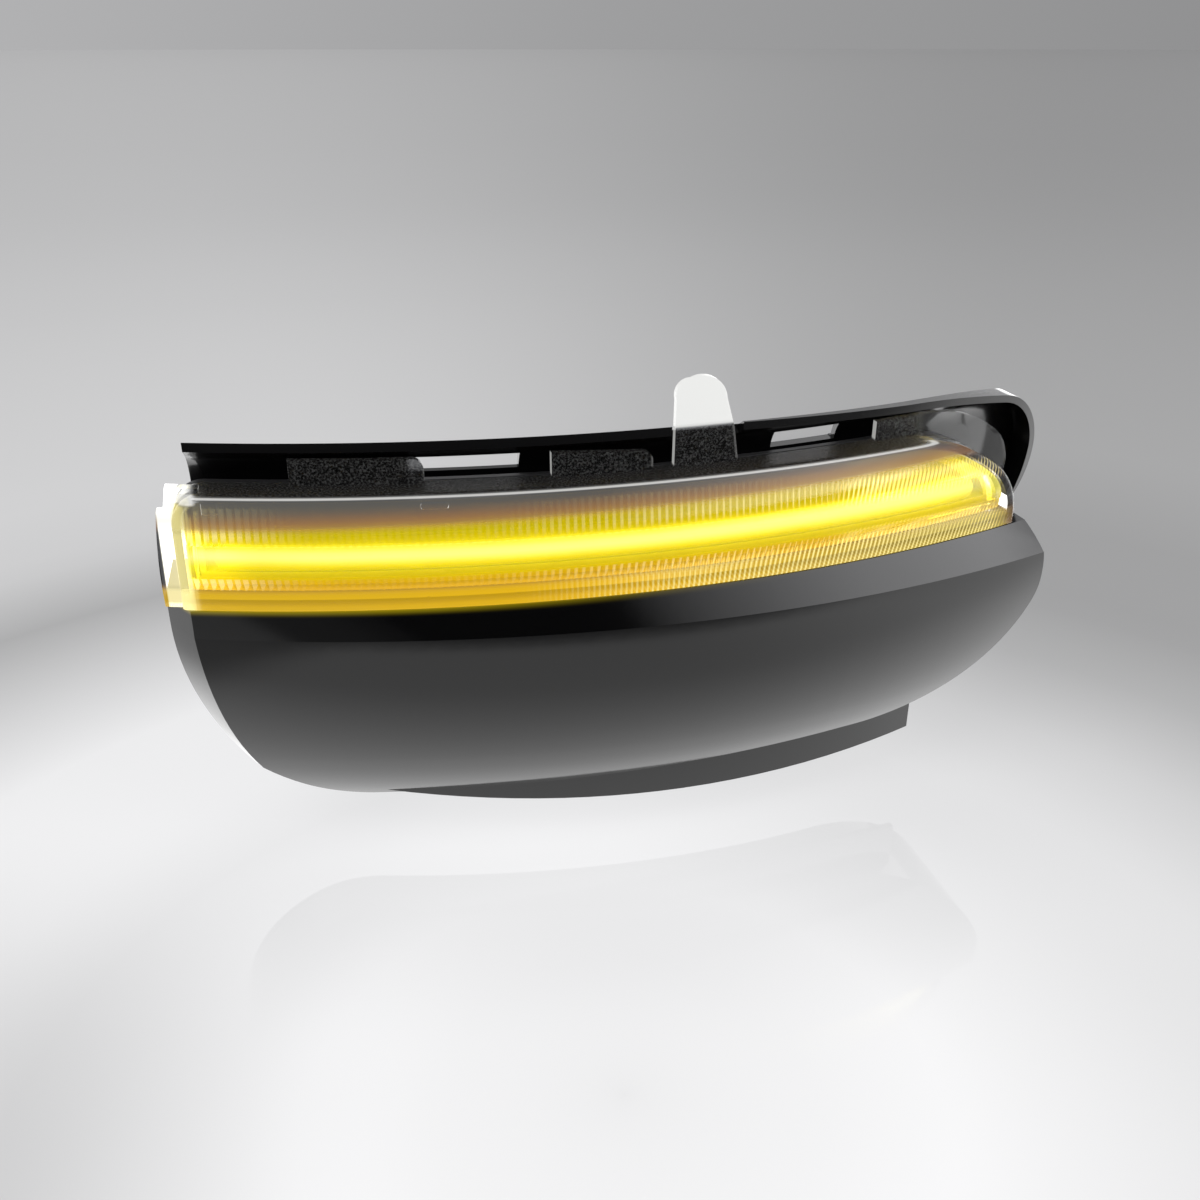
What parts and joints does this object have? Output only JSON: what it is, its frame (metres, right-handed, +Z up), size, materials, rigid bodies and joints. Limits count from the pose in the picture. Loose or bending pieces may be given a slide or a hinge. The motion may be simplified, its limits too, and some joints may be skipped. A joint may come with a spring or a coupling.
{
  "type": "mirror turn signal lamp",
  "caption": "Curved side turn signal lamp for a door mirror: ribbed clear lens over an amber light bar, black carrier frame above and glossy lower shell below.",
  "frame": {"origin": "centre of the inner mounting boss's mouth, on the back of the lamp housing", "axes": "+X along the lamp, from the mirror's inner end to its outer end; +Y back into the mirror, along the screw bosses; +Z up as the lamp sits in the mirror"},
  "size_m": [0.241, 0.0594, 0.1166],
  "materials": {
    "clear_lens": "polished clear plastic with a grained shelf",
    "ribbed_optic": "clear plastic with fine upright flutes",
    "light_guide": "glowing light guide",
    "reflector": "satin white diffuser",
    "board": "solder mask",
    "led_package": "moulded LED body",
    "resistor_body": "ceramic chip",
    "capacitor_body": "ceramic chip",
    "chip_body": "moulded epoxy",
    "screw_steel": "zinc plated",
    "housing_black": "fine grain moulding",
    "socket_plastic": "satin moulding",
    "seal": "matt elastomer",
    "contact_metal": "tinned brass",
    "vent_plastic": "moulded cap",
    "frame_black": "satin black moulding",
    "shell_gloss": "piano black gloss",
    "foam": "closed-cell foam"
  },
  "bodies": {
    "root": {"outer_lens": "clear_lens", "lens_seal": "seal", "inner_optic": "ribbed_optic", "light_bar": "light_guide", "reflector_tray": "reflector", "led_board": "board", "leds": "led_package", "resistors": "resistor_body", "capacitors": "capacitor_body", "driver_chips": "chip_body", "board_screws": "screw_steel", "lamp_housing": "housing_black", "connector_socket": "socket_plastic", "socket_seal": "seal", "contact_pins": "contact_metal", "vent_plug": "vent_plastic", "back_frame": "frame_black", "case_screws": "screw_steel", "lower_cover": "shell_gloss", "foam_strips": "foam"}
  },
  "joints": []
}
